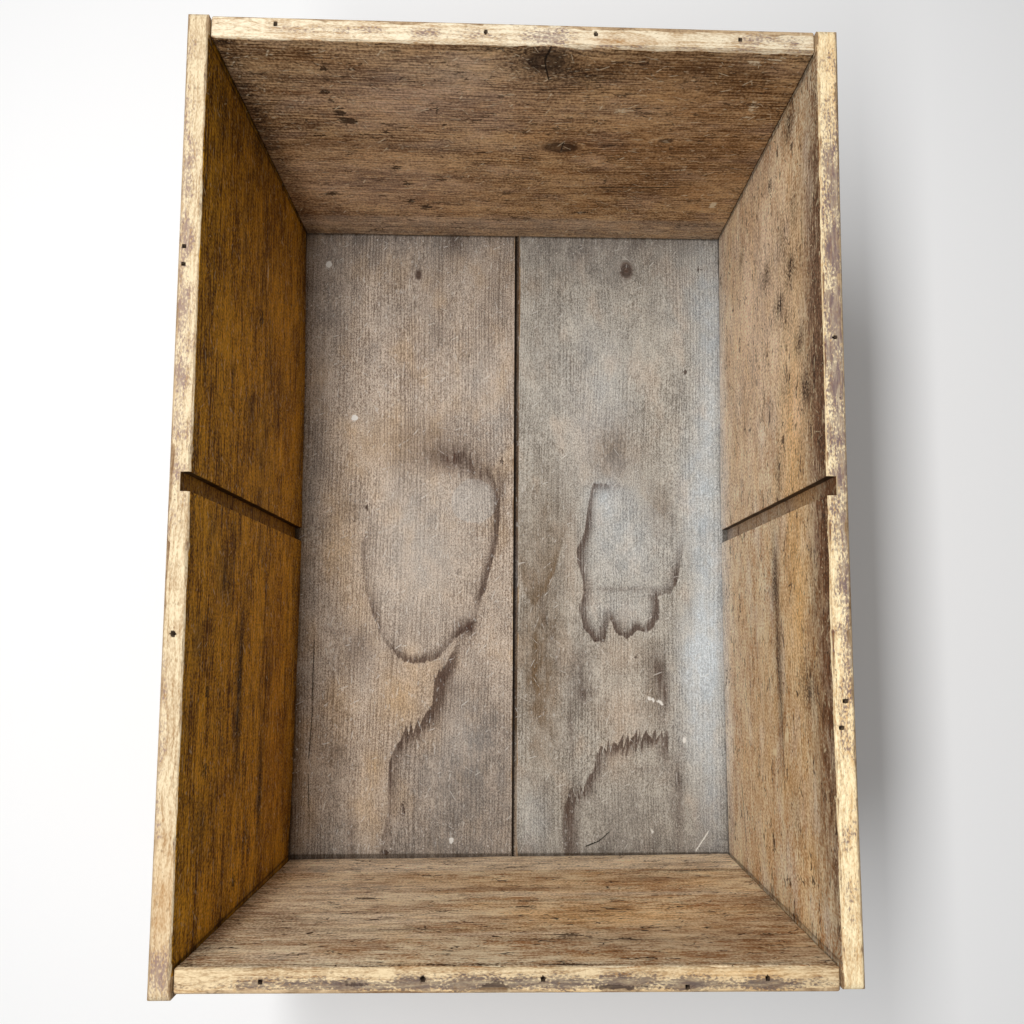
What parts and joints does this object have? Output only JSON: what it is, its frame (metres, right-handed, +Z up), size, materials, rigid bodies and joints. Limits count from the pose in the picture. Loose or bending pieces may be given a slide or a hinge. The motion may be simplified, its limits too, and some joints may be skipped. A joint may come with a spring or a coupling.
{
  "type": "wooden bottle crate",
  "caption": "Open-topped crate of nailed pine boards for upright bottles: ends set between long sides, tongued and grooved floor, and a housing across each side for a loose divider.",
  "frame": {"origin": "middle of the underside of the floor, where the crate stands", "axes": "+Y along the crate's length towards the back end, +X across it towards the right side, +Z up out of the open top"},
  "size_m": [0.369, 0.534, 0.312],
  "materials": {
    "floor_pine": "bare dry pine, greyed and water stained",
    "end_pine": "planed pine, worn brown with old handling",
    "left_side_pine": "planed pine, amber brown and slightly oily",
    "right_side_pine": "planed pine, tan with dark flecks",
    "nail_iron": "dark rusty iron wire"
  },
  "bodies": {
    "root": {"left_floor_board": "floor_pine", "right_floor_board": "floor_pine", "back_end": "end_pine", "front_end": "end_pine", "left_side": "left_side_pine", "right_side": "right_side_pine", "back_left_corner_nails": "nail_iron", "back_right_corner_nails": "nail_iron", "front_left_corner_nails": "nail_iron", "front_right_corner_nails": "nail_iron", "back_floor_nails": "nail_iron", "front_floor_nails": "nail_iron", "left_floor_nails": "nail_iron", "right_floor_nails": "nail_iron", "broken_lid_nail": "nail_iron"}
  },
  "joints": []
}
